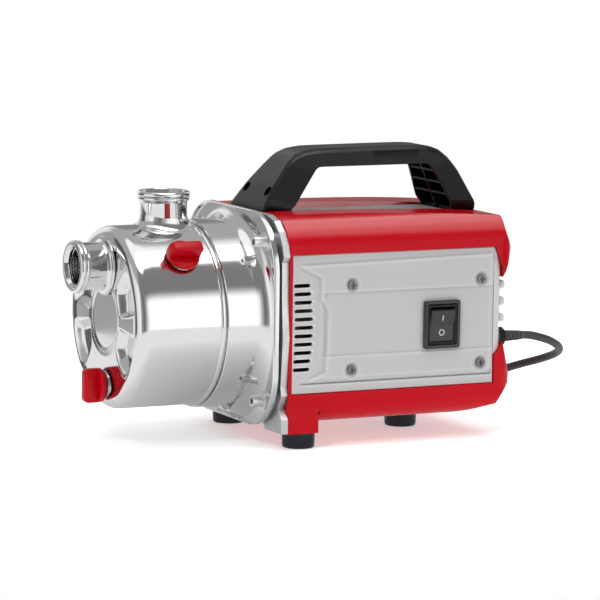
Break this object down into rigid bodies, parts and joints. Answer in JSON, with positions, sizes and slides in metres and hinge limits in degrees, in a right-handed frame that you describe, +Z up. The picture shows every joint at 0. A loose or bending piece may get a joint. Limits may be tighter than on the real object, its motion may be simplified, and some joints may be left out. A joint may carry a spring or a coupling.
{
  "type": "shallow well jet pump",
  "caption": "Self-priming jet pump: stainless casing with threaded suction and discharge ports, shrouded electric motor, carrying handle, rocker switch and mains lead.",
  "frame": {"origin": "on the ground under the middle of the pump, without its lead", "axes": "+X along the shaft from the suction port to the motor's rear, +Z up, the switch side faces -Y"},
  "size_m": [0.4535, 0.2975, 0.247],
  "materials": {
    "polished_steel": "polished stainless sheet, faintly brushed",
    "boss_steel": "welded stainless",
    "red_knob": "moulded, satin gloss",
    "seal_rubber": "moulded rubber",
    "zinc_steel": "zinc plated",
    "dark_screw": "darkened zinc",
    "inner_plastic": "glass filled",
    "brass": "machined",
    "seal_carbon": "lapped carbon",
    "ceramic": "lapped ceramic",
    "cast_aluminium": "die cast, fine blasted",
    "bearing_steel": "ground",
    "lamination": "stacked laminations",
    "copper": "enamelled wire",
    "capacitor_plastic": "moulded",
    "red_plastic": "moulded, gloss with fine orange peel",
    "grey_plastic": "silver grey, fine spark-eroded grain",
    "black_plastic": "fine grain, satin",
    "rocker_plastic": "satin gloss",
    "gland_plastic": "moulded nylon",
    "foot_rubber": "moulded rubber",
    "cable_rubber": "rubber sheath"
  },
  "bodies": {
    "pump": {"casing_can": "polished_steel", "casing_ring": "polished_steel", "suction_port": "polished_steel", "discharge_port": "polished_steel", "fill_boss": "boss_steel", "drain_boss": "boss_steel", "casing_bolts": "zinc_steel", "casing_washers": "zinc_steel", "casing_gasket": "seal_rubber", "seal_plate": "boss_steel", "ejector_housing": "inner_plastic", "jet_nozzle": "brass", "venturi_tube": "inner_plastic", "diffuser": "inner_plastic", "seal_seat": "ceramic", "motor_bracket": "cast_aluminium", "bearing_outer_rings": "bearing_steel", "bearing_balls": "bearing_steel", "stator_core": "lamination", "windings": "copper", "motor_tube": "cast_aluminium", "rear_end_shield": "cast_aluminium", "tie_bolts": "zinc_steel", "capacitor": "capacitor_plastic", "upper_shell": "red_plastic", "lower_shell": "red_plastic", "side_panel_right": "grey_plastic", "side_panel_left": "grey_plastic", "panel_screws": "dark_screw", "rear_vent_cover": "grey_plastic", "top_strip": "grey_plastic", "handle": "black_plastic", "handle_screws": "zinc_steel", "switch_bezel": "black_plastic", "switch_body": "black_plastic", "foot_front_right": "foot_rubber", "foot_front_left": "foot_rubber", "foot_rear": "foot_rubber", "foot_screws": "zinc_steel", "cable_gland": "gland_plastic", "gland_nut": "black_plastic", "strain_relief": "cable_rubber", "power_cable": "cable_rubber", "cable_coil": "cable_rubber", "cable_tail": "cable_rubber", "mains_plug": "black_plastic"},
    "rotor": {"shaft": "bearing_steel", "bearing_inner_rings": "bearing_steel", "rotor_core": "lamination", "impeller": "brass", "impeller_nut": "brass", "seal_head": "seal_carbon", "cooling_fan": "inner_plastic"},
    "fill_seal": {"fill_plug_oring": "seal_rubber"},
    "fill_cap": {"fill_plug": "red_knob"},
    "drain_seal": {"drain_plug_oring": "seal_rubber"},
    "drain_cap": {"drain_plug": "red_knob"},
    "rocker": {"switch_rocker": "rocker_plastic"}
  },
  "joints": [
    {"name": "rotor_spin", "type": "hinge", "parent": "pump", "child": "rotor", "pos_m": [0, 0, 0.108], "axis": [1, 0, 0], "continuous": true},
    {"name": "fill_plug_turn", "type": "hinge", "parent": "fill_seal", "child": "fill_cap", "pos_m": [-0.111, -0.05798, 0.16598], "axis": [0, -0.7071, 0.7071], "range_deg": [0, 2160]},
    {"name": "fill_plug_lift", "type": "slide", "parent": "pump", "child": "fill_seal", "axis": [0, -0.7071, 0.7071], "range_m": [0, 0.012]},
    {"name": "drain_plug_turn", "type": "hinge", "parent": "drain_seal", "child": "drain_cap", "pos_m": [-0.158, 0, 0.051], "axis": [-1, 0, 0], "range_deg": [0, 2160]},
    {"name": "drain_plug_lift", "type": "slide", "parent": "pump", "child": "drain_seal", "axis": [-1, 0, 0], "range_m": [0, 0.012]},
    {"name": "rocker_press", "type": "hinge", "parent": "pump", "child": "rocker", "pos_m": [0.1145, -0.086, 0.101], "axis": [-1, 0, 0], "range_deg": [0, 16]}
  ],
  "couplings": [
    {"joint": "fill_plug_turn", "follows": "fill_plug_lift", "rad_per_m": 3141.6},
    {"joint": "drain_plug_turn", "follows": "drain_plug_lift", "rad_per_m": 3141.6}
  ]
}
